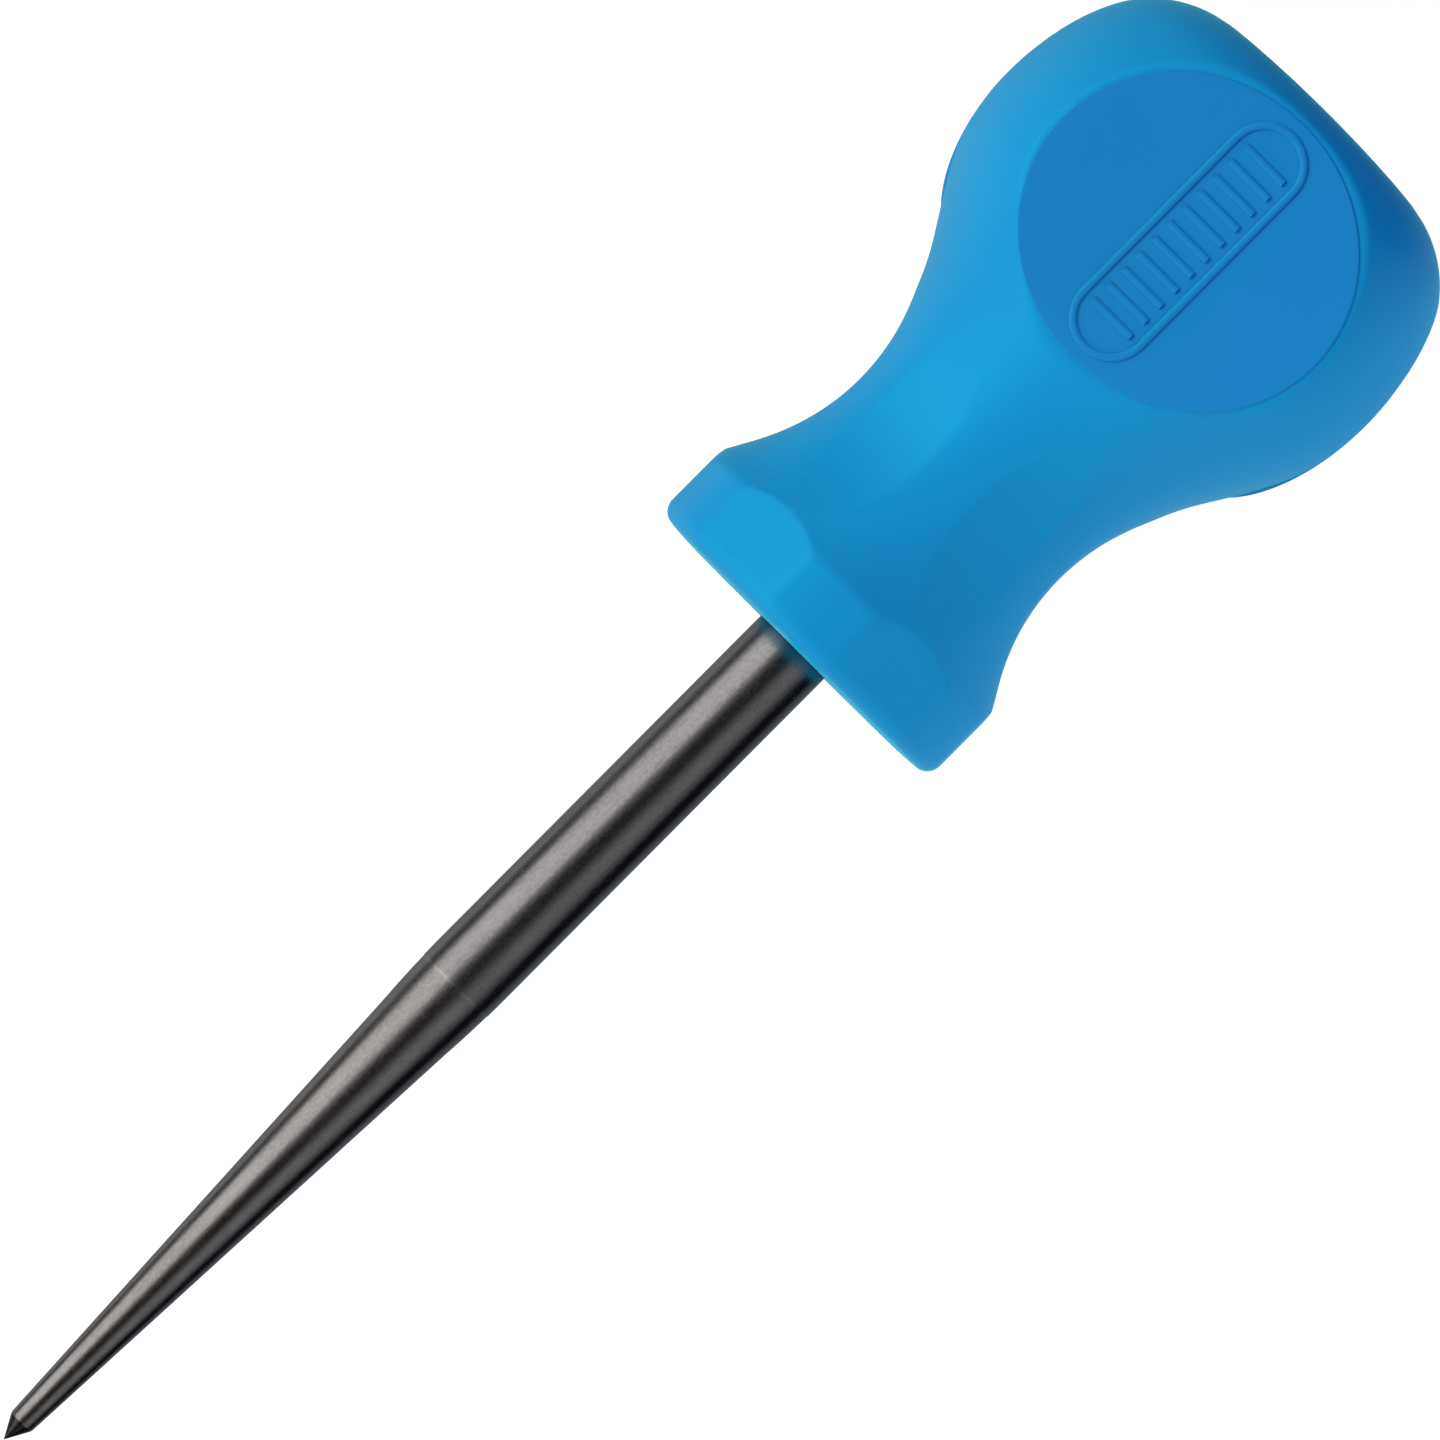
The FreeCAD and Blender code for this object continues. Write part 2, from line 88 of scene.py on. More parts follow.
CREASE = {"land": 0.35, "flat": 0.07, "scoop": 0.09, "face": 0.4}  # how far each crease is rounded off
NOWHERE = 99.0  # a distance outside the handle, where a cut takes nothing away
CORE = {
    "stem": 8.0,
    "ball": 17.0,
    "flank": 14.0,
    "end": 56.4,
    "end_edge": 2.0,
    "front_edge": 0.15,
    "front_ring": 3.9,
    "cut_back": 0.8,
}
PAD = {"place": 44.4, "half_length": 12.95, "half_width": 13.95, "root": 6.0, "top": 15.05, "edge": 0.14}
PAST_SKIN = 24.0  # distance from the axis at which the pads' cutting tool is outside the grip
SLAB = {"start": 20.0, "end": 70.0, "side": 30.0, "thick": 10.0}
MARKED_FACE = 150.0  # direction of the pad that carries the relief
MARK = {"length": 23.2, "width": 6.2, "rib": 0.62, "ribs": 11, "rise": 0.22, "wall": 0.077, "root": -0.3}
RIB_GAP = 1.6  # distance from the end of a rib's spine to the middle of the outline's bar, in rib widths

# Distances between rings of points along the handle's section, where it is nearly straight.
SPACING = {"usual": 0.36, "collar": 0.252, "collar_end": 10.0, "front": 1.6, "butt": 1.2}
BUTT_CROWN = {"start": 57.0, "radius": 12.0}

# ---------------------------------------------------------------- geometry helpers


def arc(centre, radius, start, end, steps):
    """Points along an arc between two angles in degrees."""
    turns = np.radians(np.linspace(start, end, steps + 1))
    return np.column_stack([centre[0] + radius * np.cos(turns), centre[1] + radius * np.sin(turns)])


def angle_at(centre, point):
    return math.degrees(math.atan2(point[1] - centre[1], point[0] - centre[0]))


def line(start, end, steps):
    share = np.linspace(0.0, 1.0, steps + 1)[:, None]
    return np.asarray(start) * (1 - share) + np.asarray(end) * share


def chain(*runs):
    """Joins runs of points end to end and drops the points they share."""
    points = [runs[0]]
    for run in runs[1:]:
        points.append(run[1:] if np.allclose(run[0], points[-1][-1], atol=1e-6) else run)
    return np.vstack(points)


def circles_meet(one, radius_one, two, radius_two):
    apart = math.dist(one, two)
    along = (apart**2 + radius_one**2 - radius_two**2) / (2 * apart)
    off = math.sqrt(radius_one**2 - along**2)
    x, y = (two[0] - one[0]) / apart, (two[1] - one[1]) / apart
    crossings = [(one[0] + along * x - side * y, one[1] + along * y + side * x) for side in (off, -off)]
    return max(crossings, key=lambda p: p[1])


def towards(start, end, reach):
    share = reach / math.dist(start, end)
    return (start[0] + (end[0] - start[0]) * share, start[1] + (end[1] - start[1]) * share)


def soft_min(one, two, width):
    """The smaller of two, with the crease between them rounded off on the inside."""
    near = np.clip(width - np.abs(one - two), 0.0, None) / width
    return np.minimum(one, two) - near * near * width * 0.25


def make_object(name, verts, faces):
    mesh = bpy.data.meshes.new(name)
    mesh.from_pydata((np.asarray(verts) * MM).tolist(), [], faces)
    mesh.validate()
    mesh.update()
    made = bpy.data.objects.new(name, mesh)
    bpy.context.scene.collection.objects.link(made)
    return made


def skin_faces(rings, segments):
    """Faces of a closed skin over rings of points, with a single point before them and another after."""
    last = 1 + rings * segments
    faces = []
    for i in range(segments):
        j = (i + 1) % segments
        faces.append((0, 1 + i, 1 + j))
        for ring in range(rings - 1):
            a, b = 1 + ring * segments, 1 + (ring + 1) * segments
            faces.append((a + i, b + i, b + j, a + j))
        a = 1 + (rings - 1) * segments
        faces.append((a + i, last, a + j))
    return faces


def lathe(name, profile, segments):
    """Turns a profile of (x, radius) points about the X axis. Its first and last points lie on the axis."""
    turns = np.linspace(0.0, 2 * math.pi, segments, endpoint=False)
    verts = [(profile[0][0], 0.0, 0.0)]
    for x, radius in profile[1:-1]:
        verts += [(x, radius * math.cos(t), radius * math.sin(t)) for t in turns]
    verts.append((profile[-1][0], 0.0, 0.0))
    return make_object(name, verts, skin_faces(len(profile) - 2, segments))


def boolean(target, tool, operation):
    """Applies an exact Boolean to the target's mesh and removes the tool."""
    step = target.modifiers.new("cut", "BOOLEAN")
    step.operation = operation
    step.solver = "EXACT"
    step.object = tool
    bpy.context.view_layer.update()
    graph = bpy.context.evaluated_depsgraph_get()
    done = bpy.data.meshes.new_from_object(target.evaluated_get(graph))
    target.modifiers.remove(step)
    target.data = done
    bpy.data.objects.remove(tool)


def smooth(piece, degrees):
    """Smooth shading, with the edges sharper than this angle kept crisp."""
    mesh = piece.data
    mesh.polygons.foreach_set("use_smooth", [True] * len(mesh.polygons))
    work = bmesh.new()
    work.from_mesh(mesh)
    limit = math.radians(degrees)
    for edge in work.edges:
        edge.smooth = len(edge.link_faces) == 2 and edge.calc_face_angle(0.0) < limit
    work.to_mesh(mesh)
    work.free()


# ---------------------------------------------------------------- blade


def blade_profile():
    """(x, radius) points of the blade from the point to the tang's end, with its edges just broken."""
    b = BLADE
    reach, shank = b["reach"], b["shank_radius"]
    drop, run = shank - b["taper_radius"], b["taper_root"] - b["shank"]
    curve = (run**2 + drop**2) / (2 * drop)

    def ease(x):
        gone = -b["shank"] - x
        return shank - curve + math.sqrt(curve**2 - gone**2)

    grind = b["grind_line"]
    nick = 0.03  # step at the ring line where the ground taper ends
    shoulder = (-reach + b["point"], b["point_radius"])
    away = (shoulder[0] + 0.12, shoulder[1] + 0.006)
    before = towards(shoulder, (-reach, 0.0), 0.1)
    taper = line(away, (-b["taper_root"], b["taper_radius"]), 40)
    blend = np.array([(x, ease(x) - nick) for x in np.linspace(-b["taper_root"], -grind - 0.08, 14)])
    blend[:, 1] += nick * np.linspace(1.0, 0.0, len(blend))
    rest = np.array([(x, ease(x)) for x in np.linspace(-grind + 0.06, -b["shank"], 6)])
    point = line((-reach + 0.02, 0.035), before, 8)
    return chain(
        np.array([(-reach, 0.0)]),
        point,
        np.array([(shoulder[0] + 0.01, shoulder[1] - 0.012)]),
        taper,
        blend,
        rest,
        line((-b["shank"], shank), (-0.15, shank), 24),
        np.array([(-0.04, shank - 0.03), (0.0, shank - 0.08)]),
        np.array([(0.0, b["tang_radius"])]),
        line((0.0, b["tang_radius"]), (b["tang"] - b["tang_chamfer"], b["tang_radius"]), 20),
        np.array([(b["tang"], b["tang_radius"] - b["tang_chamfer"])]),
        np.array([(b["tang"], 0.0)]),
    )


def wing_tool(turn):
    """One pressed wing of the tang, a plate with sloping ends."""
    w = WING
    outline = [
        (w["start"], 0.0),
        (w["start"] + w["slope"], w["reach"]),
        (w["start"] + w["length"] - w["slope"], w["reach"]),
        (w["start"] + w["length"], 0.0),
    ]
    half = w["thick"] / 2
    c, s = math.cos(turn), math.sin(turn)
    verts = [(x, r * c - side * s, r * s + side * c) for side in (-half, half) for x, r in outline]
    faces = [(3, 2, 1, 0), (4, 5, 6, 7)]
    for i in range(4):
        j = (i + 1) % 4
        faces.append((i, j, j + 4, i + 4))
    return make_object("wing", verts, faces)


def build_blade(name, segments=144):
    made = lathe(name, blade_profile(), segments)
    for index in range(WING["count"]):
        boolean(made, wing_tool(2 * math.pi * index / WING["count"]), "UNION")
    smooth(made, 32.0)
    return made


# ---------------------------------------------------------------- outside of the handle


def rim_centre():
    """Centre of the collar's rounded front edge, which touches its crowned face and its land."""
    h = HANDLE
    radius = h["collar"] - h["rim"]
    reach = h["face_curve"] - h["rim"]
    return (h["face_curve"] - math.sqrt(reach**2 - (radius - h["face_flat"]) ** 2), radius)


def handle_profile():
    """(x, radius) points of the handle's lengthwise section, spaced by its shape."""
    h = HANDLE
    waist_centre = (h["neck_place"], h["neck_radius"] + h["neck_curve"])
    front_centre = (h["bulb_place"], h["bulb_radius"] - h["bulb_front"])
    rear_centre = (h["bulb_place"], 0.0)
    crown_centre = (h["length"] - h["crown"], 0.0)
    corner_centre = circles_meet(
        crown_centre, h["crown"] - h["butt_edge"], rear_centre, h["bulb_radius"] - h["butt_edge"]
    )
    drop = waist_centre[1] - h["collar"]
    shoulder = (waist_centre[0] - math.sqrt(h["neck_curve"] ** 2 - drop**2), h["collar"])
    apart = math.dist(waist_centre, front_centre)
    lean = math.atan2(front_centre[1] - waist_centre[1], front_centre[0] - waist_centre[0])
    turn = lean - math.acos((h["neck_curve"] + h["bulb_front"]) / apart)
    ray = (math.cos(turn), math.sin(turn))
    flank_start = (waist_centre[0] + h["neck_curve"] * ray[0], waist_centre[1] + h["neck_curve"] * ray[1])
    flank_end = (front_centre[0] - h["bulb_front"] * ray[0], front_centre[1] - h["bulb_front"] * ray[1])
    corner_start = towards(rear_centre, corner_centre, h["bulb_radius"])
    corner_end = towards(crown_centre, corner_centre, h["crown"])
    face_centre = (h["face_curve"], h["face_flat"])
    rim = rim_centre()
    rim_start = angle_at(face_centre, rim)
    dense = 400
    outline = chain(
        line((0.0, 0.0), (0.0, h["face_flat"]), dense),
        arc(face_centre, h["face_curve"], 180.0, rim_start, dense),
        arc(rim, h["rim"], rim_start, 90.0, dense),
        line((rim[0], h["collar"]), shoulder, dense),
        arc(
            waist_centre,
            h["neck_curve"],
            angle_at(waist_centre, shoulder),
            angle_at(waist_centre, flank_start),
            dense,
        ),
        line(flank_start, flank_end, dense),
        arc(front_centre, h["bulb_front"], angle_at(front_centre, flank_end), 90.0, dense),
        arc(rear_centre, h["bulb_radius"], 90.0, angle_at(rear_centre, corner_start), dense),
        arc(
            corner_centre,
            h["butt_edge"],
            angle_at(corner_centre, corner_start),
            angle_at(corner_centre, corner_end),
            dense,
        ),
        arc(crown_centre, h["crown"], angle_at(crown_centre, corner_end), 0.0, dense),
    )
    # The corner behind the collar's land is rounded off.
    near = (outline[:, 0] > rim[0]) & (outline[:, 0] < h["neck_place"])
    x = outline[near, 0]
    curve = waist_centre[1] - np.sqrt(h["neck_curve"] ** 2 - (x - waist_centre[0]) ** 2)
    outline[near, 1] = soft_min(np.full_like(x, h["collar"]), curve, CREASE["land"])
    steps = np.hypot(*np.diff(outline, axis=0).T)
    along = np.concatenate([[0.0], np.cumsum(steps)])
    spots = []
    at = 0.0
    while at < along[-1]:
        spots.append(at)
        x = np.interp(at, along, outline[:, 0])
        radius = np.interp(at, along, outline[:, 1])
        if x < rim[0] and radius < h["face_flat"]:
            at += SPACING["front"]
        elif x < SPACING["collar_end"]:
            at += SPACING["collar"]
        elif x > BUTT_CROWN["start"] and radius < BUTT_CROWN["radius"]:
            at += SPACING["butt"]
        else:
            at += SPACING["usual"]
    spots.append(along[-1])
    spots = np.array(spots)
    return np.column_stack([np.interp(spots, along, outline[:, 0]), np.interp(spots, along, outline[:, 1])])


def off_turn(turns, centre):
    """Signed angle from a direction, between -pi and pi."""
    return (turns - centre + math.pi) % (2 * math.pi) - math.pi


def handle_radius(x, radius, turns):
    """Distance from the axis to the handle's surface, for arrays of one shape."""
    result = radius.copy()
    collar = np.full_like(radius, HANDLE["collar"])
    scoop_reach = SCOOP["curve"] ** 2 - (x - SCOOP["place"]) ** 2
    scoop = SCOOP["distance"] + SCOOP["curve"] - np.sqrt(np.clip(scoop_reach, 0.0, None))
    scoop = np.where(scoop_reach > 0.0, scoop, NOWHERE)
    flat = np.where(x < FLAT["end"], FLAT["distance"], NOWHERE)
    for index in range(FLAT["count"]):
        # Each flat and scoop is worked out within 60 degrees of its own direction.
        off = off_turn(turns, 2 * math.pi * index / FLAT["count"])
        facing = np.abs(off) < math.radians(60.0)
        lean = np.where(facing, np.cos(off), 0.5)
        result = np.where(facing, soft_min(result, flat / lean, CREASE["flat"]), result)
        result = np.where(facing, soft_min(result, scoop / lean, CREASE["scoop"]), result)
        collar = np.where(facing, soft_min(collar, FLAT["distance"] / lean, CREASE["flat"]), collar)
    # The front edge is rounded alike round the flats and the lands.
    rim = rim_centre()
    on_face = radius * (collar - HANDLE["rim"]) / rim[1]
    on_rim = radius - (HANDLE["collar"] - collar)
    result = np.where(x < rim[0], np.where(radius < rim[1], on_face, on_rim), result)
    face = np.where(x > FACE["start"], FACE["distance"], NOWHERE)
    for degrees in FACE["turns"]:
        # Each round face is worked out within 75 degrees of its own direction.
        off = off_turn(turns, math.radians(degrees))
        facing = np.abs(off) < math.radians(75.0)
        lean = np.where(facing, np.cos(off), 0.26)
        result = np.where(facing, soft_min(result, face / lean, CREASE["face"]), result)
    return result


def build_envelope(name, segments=360):
    """The handle's outer skin as a closed solid."""
    profile = handle_profile()
    turns = np.linspace(0.0, 2 * math.pi, segments, endpoint=False)
    inner = profile[1:-1]
    x = np.repeat(inner[:, 0:1], segments, axis=1)
    radius = handle_radius(x, np.repeat(inner[:, 1:2], segments, axis=1), np.broadcast_to(turns, x.shape))
    y, z = radius * np.cos(turns), radius * np.sin(turns)
    verts = [(profile[0, 0], 0.0, 0.0)]
    verts += np.stack([x, y, z], axis=-1).reshape(-1, 3).tolist()
    verts.append((profile[-1, 0], 0.0, 0.0))
    return make_object(name, verts, skin_faces(len(inner), segments))


# ---------------------------------------------------------------- core


def core_profile(flare=0.0):
    """(x, radius) points of the core's turned shape. With a flare it is the tool that cuts the grip's
    inside: it runs out of the front face, and widens there to break the grip's edge.
    """
    c = CORE
    ball, flank, stem = c["ball"], c["flank"], c["stem"]
    ball_centre = (HANDLE["bulb_place"], 0.0)
    rise = stem + flank
    flank_centre = (ball_centre[0] - math.sqrt((ball + flank) ** 2 - rise**2), rise)
    flank_end = towards(ball_centre, flank_centre, ball)
    edge, end = c["end_edge"], c["end"]
    edge_x = end - edge
    edge_y = math.sqrt((ball - edge) ** 2 - (edge_x - ball_centre[0]) ** 2)
    edge_start = towards(ball_centre, (edge_x, edge_y), ball)
    front = c["front_edge"]
    if flare:
        start = np.array([(-1.0, 0.0), (-1.0, stem + flare), (0.0, stem + flare), (flare, stem)])
    else:
        face = np.array([(0.0, 0.0), (0.0, c["front_ring"])])
        start = chain(face, arc((front, stem - front), front, 180.0, 90.0, 5))
    return chain(
        start,
        line((start[-1][0], stem), (flank_centre[0], stem), 12),
        arc(flank_centre, flank, -90.0, angle_at(flank_centre, flank_end), 16),
        arc(ball_centre, ball, angle_at(ball_centre, flank_end), angle_at(ball_centre, edge_start), 40),
        arc((edge_x, edge_y), edge, angle_at((edge_x, edge_y), edge_start), 0.0, 8),
        np.array([(end, 0.0)]),
    )


def pad_axes(degrees):
    """Unit directions out of a round face and across it."""
    turn = math.radians(degrees)
    out = np.array([0.0, math.cos(turn), math.sin(turn)])
    across = np.array([0.0, -math.sin(turn), math.cos(turn)])
    return out, across


def pad_solid(name, degrees, edge=PAD["edge"], top=PAD["top"], segments=192):
    """One round pad: an oval plug along its own direction, with a rounded rim unless the edge is 0."""
    out, across = pad_axes(degrees)
    layers = [(PAD["root"], 0.0)]
    if edge:
        # A ring below the rim and another inside it keep the wall and the top flat in their shading.
        layers += [(top - edge * 4, 0.0)]
        for a in np.radians(np.linspace(0, 90, 9)):
            layers += [(top - edge + edge * math.sin(a), edge * (1 - math.cos(a)))]
        layers += [(top, edge + 0.5)]
    else:
        layers += [(top, 0.0)]
    verts, faces = [], []
    for height, inset in layers:
        for t in np.linspace(0.0, 2 * math.pi, segments, endpoint=False):
            along = PAD["place"] + (PAD["half_length"] - inset) * math.cos(t)
            aside = (PAD["half_width"] - inset) * math.sin(t)
            verts.append(tuple(np.array([along, 0.0, 0.0]) + across * aside + out * height))
    for layer in range(len(layers) - 1):
        a, b = layer * segments, (layer + 1) * segments
        for i in range(segments):
            j = (i + 1) % segments
            faces.append((a + i, a + j, b + j, b + i))
    faces.append(tuple(range(segments - 1, -1, -1)))
    faces.append(tuple(range((len(layers) - 1) * segments, len(layers) * segments)))
    return make_object(name, verts, faces)


def slab_solid(name, degrees, distance):
    """A thick plate square to a direction, from a distance outwards, over the bulb."""
    out, across = pad_axes(degrees)
    start, end, side = SLAB["start"], SLAB["end"], SLAB["side"]
    verts = [
        tuple(np.array([x, 0.0, 0.0]) + across * aside + out * height)
        for height in (distance, distance + SLAB["thick"])
        for x, aside in ((start, -side), (end, -side), (end, side), (start, side))
    ]
    faces = [(0, 1, 2, 3), (7, 6, 5, 4)] + [(i, i + 4, (i + 1) % 4 + 4, (i + 1) % 4) for i in range(4)]
    return make_object(name, verts, faces)


def bar_solid(name, spine, width, closed):
    """A low rounded bar along a spine of (along, across) points on the marked pad."""
    out, across = pad_axes(MARKED_FACE)
    spine = np.asarray(spine)
    count = len(spine)
    after, before = np.roll(spine, -1, axis=0), np.roll(spine, 1, axis=0)
    if not closed:
        after[-1], before[0] = spine[-1], spine[0]
    run = after - before
    run /= np.linalg.norm(run, axis=1)[:, None]
    side = np.column_stack([-run[:, 1], run[:, 0]])
    half = width / 2
    root, wall, rise = MARK["root"], MARK["wall"], MARK["rise"]
    section = [(-half, root), (half, root), (half, wall)]
    for a in np.radians([25, 50, 75, 105, 130, 155]):
        section += [(half * math.cos(a), wall + (rise - wall) * math.sin(a))]
    section += [(-half, wall)]
    verts, faces = [], []
    size = len(section)
    for spot, aside in zip(spine, side):
        for wide, high in section:
            where = spot + aside * wide
            foot = np.array([PAD["place"] + where[0], 0.0, 0.0])
            verts.append(tuple(foot + across * where[1] + out * (PAD["top"] + high)))
    last = count if closed else count - 1
    for i in range(last):
        a, b = i * size, ((i + 1) % count) * size
        for k in range(size):
            m = (k + 1) % size
            faces.append((a + k, a + m, b + m, b + k))
    if not closed:
        faces.append(tuple(range(size - 1, -1, -1)))
        faces.append(tuple(range((count - 1) * size, count * size)))
    made = make_object(name, verts, faces)
    work = bmesh.new()
    work.from_mesh(made.data)
    bmesh.ops.recalc_face_normals(work, faces=work.faces)
    work.to_mesh(made.data)
    work.free()
    return made


def capsule_spine(length, width, steps):
    """A closed stadium outline, centred on the pad."""
    radius = width / 2
    reach = length / 2 - radius
    right = arc((reach, 0.0), radius, -90.0, 90.0, steps)
    left = arc((-reach, 0.0), radius, 90.0, 270.0, steps)
    return np.vstack([right, left])


def build_core(name):
    made = lathe(name, core_profile(), 128)
    for degrees in FACE["turns"]:
        # The ball is cut back under each pad, whose own face stands above the cut.
        boolean(made, slab_solid("slab", degrees, PAD["top"] - CORE["cut_back"]), "DIFFERENCE")
        boolean(made, pad_solid("pad", degrees), "UNION")
    outline = capsule_spine(MARK["length"], MARK["width"], 24)
    boolean(made, bar_solid("frame_bar", outline, MARK["rib"], True), "UNION")
    inner = MARK["length"] - MARK["width"]
    reach = MARK["width"] / 2 - MARK["rib"] * RIB_GAP
    for place in np.linspace(-inner / 2, inner / 2, MARK["ribs"]):
        spine = line((place, -reach), (place, reach), 6)
        boolean(made, bar_solid("rib", spine, MARK["rib"], False), "UNION")
    boolean(made, build_blade("tang_tool", 96), "DIFFERENCE")
    smooth(made, 28.0)
    return made


def build_grip(name):
    made = build_envelope(name)
    tool = lathe("core_tool", core_profile(flare=0.15), 128)
    for degrees in FACE["turns"]:
        boolean(tool, pad_solid("pad", degrees, edge=0.0, top=PAST_SKIN), "UNION")
    boolean(made, tool, "DIFFERENCE")
    smooth(made, 30.0)
    return made


# ---------------------------------------------------------------- materials


def new_material(name):
    """A material with one Principled shader, and its object coordinates."""
    made = bpy.data.materials.new(name)
    made.use_nodes = True
    nodes, links = made.node_tree.nodes, made.node_tree.links
    nodes.clear()
    output = nodes.new("ShaderNodeOutputMaterial")
    shader = nodes.new("ShaderNodeBsdfPrincipled")
    links.new(shader.outputs["BSDF"], output.inputs["Surface"])
    where = nodes.new("ShaderNodeTexCoord")
    return made, nodes, links, shader, where.outputs["Object"]


def noise(nodes, links, where, scale, detail, stretch=(1.0, 1.0, 1.0), roughness=0.5):
    """Noise by object coordinates, in metres. A stretch under 1 draws it out along that axis."""
    mapping = nodes.new("ShaderNodeMapping")
    mapping.inputs["Scale"].default_value = stretch
    links.new(where, mapping.inputs["Vector"])
    made = nodes.new("ShaderNodeTexNoise")
    made.inputs["Scale"].default_value = scale
    made.inputs["Detail"].default_value = detail
    made.inputs["Roughness"].default_value = roughness
    links.new(mapping.outputs["Vector"], made.inputs["Vector"])
    return made.outputs["Fac"]


def remap(nodes, links, value, low, high, to_low, to_high, kind="SMOOTHSTEP"):
    made = nodes.new("ShaderNodeMapRange")
    made.interpolation_type = kind
    links.new(value, made.inputs["Value"])
    for key, number in (("From Min", low), ("From Max", high), ("To Min", to_low), ("To Max", to_high)):
        made.inputs[key].default_value = number
    return made.outputs["Result"]


def math_node(nodes, links, operation, one, two):
    made = nodes.new("ShaderNodeMath")
    made.operation = operation
    for socket, value in zip(made.inputs, (one, two)):
        if isinstance(value, (int, float)):
            socket.default_value = value
        else:
            links.new(value, socket)
    return made.outputs["Value"]


def mix_colour(nodes, links, share, one, two):
    made = nodes.new("ShaderNodeMix")
    made.data_type = "RGBA"
    links.new(share, made.inputs["Factor"])
    for key, value in (("A", one), ("B", two)):
        socket = next(s for s in made.inputs if s.name == key and s.type == "RGBA")
        if isinstance(value, tuple):
            socket.default_value = (*value, 1.0)
        else:
            links.new(value, socket)
    return next(s for s in made.outputs if s.type == "RGBA")


def bump(nodes, links, shader, height, strength, distance):
    made = nodes.new("ShaderNodeBump")
    made.inputs["Strength"].default_value = strength
    made.inputs["Distance"].default_value = distance
    links.new(height, made.inputs["Height"])
    links.new(made.outputs["Normal"], shader.inputs["Normal"])


def plastic(name, base, deep, roughness, grain, depth, specular, tint):
    """Moulded blue plastic: a slow drift of colour, a fine grain, and a matte to satin gloss. The tints of
    its gloss and sheen keep red out of the highlights, as in the photo. They aren't measured.
    """
    made, nodes, links, shader, where = new_material(name)
    drift = noise(nodes, links, where, 90.0, 2.0)
    speck = noise(nodes, links, where, grain, 3.0, roughness=0.6)
    share = remap(nodes, links, drift, 0.3, 0.7, 0.0, 1.0)
    fleck = remap(nodes, links, speck, 0.35, 0.65, 0.0, 1.0)
    share = math_node(nodes, links, "MULTIPLY", share, 0.65)
    fleck = math_node(nodes, links, "MULTIPLY", fleck, 0.35)
    both = math_node(nodes, links, "ADD", share, fleck)
    links.new(mix_colour(nodes, links, both, deep, base), shader.inputs["Base Color"])
    low, high = roughness
    links.new(remap(nodes, links, speck, 0.3, 0.7, low, high), shader.inputs["Roughness"])
    shader.inputs["IOR"].default_value = 1.5
    shader.inputs["Specular IOR Level"].default_value = specular
    shader.inputs["Specular Tint"].default_value = (*tint, 1.0)
    shader.inputs["Sheen Weight"].default_value = 0.42
    shader.inputs["Sheen Roughness"].default_value = 0.35
    shader.inputs["Sheen Tint"].default_value = (0.0, 0.68, 0.66, 1.0)
    bump(nodes, links, shader, speck, depth, 0.00003)
    return made


def steel(name):
    """Ground tool steel: lengthwise lines, a mottled satin, a warmer taper, and painted shade that makes the
    point nearly black.
    """
    made, nodes, links, shader, where = new_material(name)
    apart = nodes.new("ShaderNodeSeparateXYZ")
    links.new(where, apart.inputs["Vector"])
    x = apart.outputs["X"]
    lines = noise(nodes, links, where, 5200.0, 4.0, stretch=(0.05, 1.0, 1.0), roughness=0.65)
    mottle = noise(nodes, links, where, 4200.0, 4.0, stretch=(0.6, 1.0, 1.0), roughness=0.7)
    cloud = noise(nodes, links, where, 260.0, 2.0, stretch=(0.5, 1.0, 1.0))
    grind = BLADE["grind_line"] * MM
    ground = remap(nodes, links, x, -grind - 0.0001, -grind + 0.0001, 1.0, 0.0)
    # Painted shade: the point's cone gets a nearly black colour, standing in for its dark reflection.
    tip = (BLADE["reach"] - BLADE["point"]) * MM
    point = remap(nodes, links, x, -tip - 0.00012, -tip + 0.00002, 1.0, 0.0)
    ring_low = remap(nodes, links, x, -grind - 0.00022, -grind - 0.00002, 0.0, 1.0)
    ring_high = remap(nodes, links, x, -grind + 0.00002, -grind + 0.00022, 1.0, 0.0)
    ring = math_node(nodes, links, "MULTIPLY", ring_low, ring_high)
    tone = mix_colour(nodes, links, ground, (0.235, 0.228, 0.228), (0.258, 0.241, 0.234))
    tone = mix_colour(nodes, links, ring, tone, (0.32, 0.31, 0.31))
    tone = mix_colour(nodes, links, point, tone, (0.03, 0.03, 0.032))
    grain = remap(nodes, links, lines, 0.25, 0.75, 0.0, 0.25)
    grain = math_node(nodes, links, "ADD", grain, remap(nodes, links, mottle, 0.35, 0.65, 0.0, 0.5))
    grain = math_node(nodes, links, "ADD", grain, remap(nodes, links, cloud, 0.3, 0.7, 0.0, 0.25))
    shade = remap(nodes, links, grain, 0.15, 0.95, 0.0, 0.28)
    links.new(mix_colour(nodes, links, shade, tone, (0.11, 0.11, 0.112)), shader.inputs["Base Color"])
    links.new(remap(nodes, links, grain, 0.2, 0.9, 0.17, 0.3), shader.inputs["Roughness"])
    shader.inputs["Metallic"].default_value = 1.0
    shader.inputs["IOR"].default_value = 2.2
    bump(nodes, links, shader, grain, 0.35, 0.00001)
    return made


# ---------------------------------------------------------------- pieces

blade = build_blade("awl_blade")
core = build_core("handle_core_shot")
grip = build_grip("grip_shot")

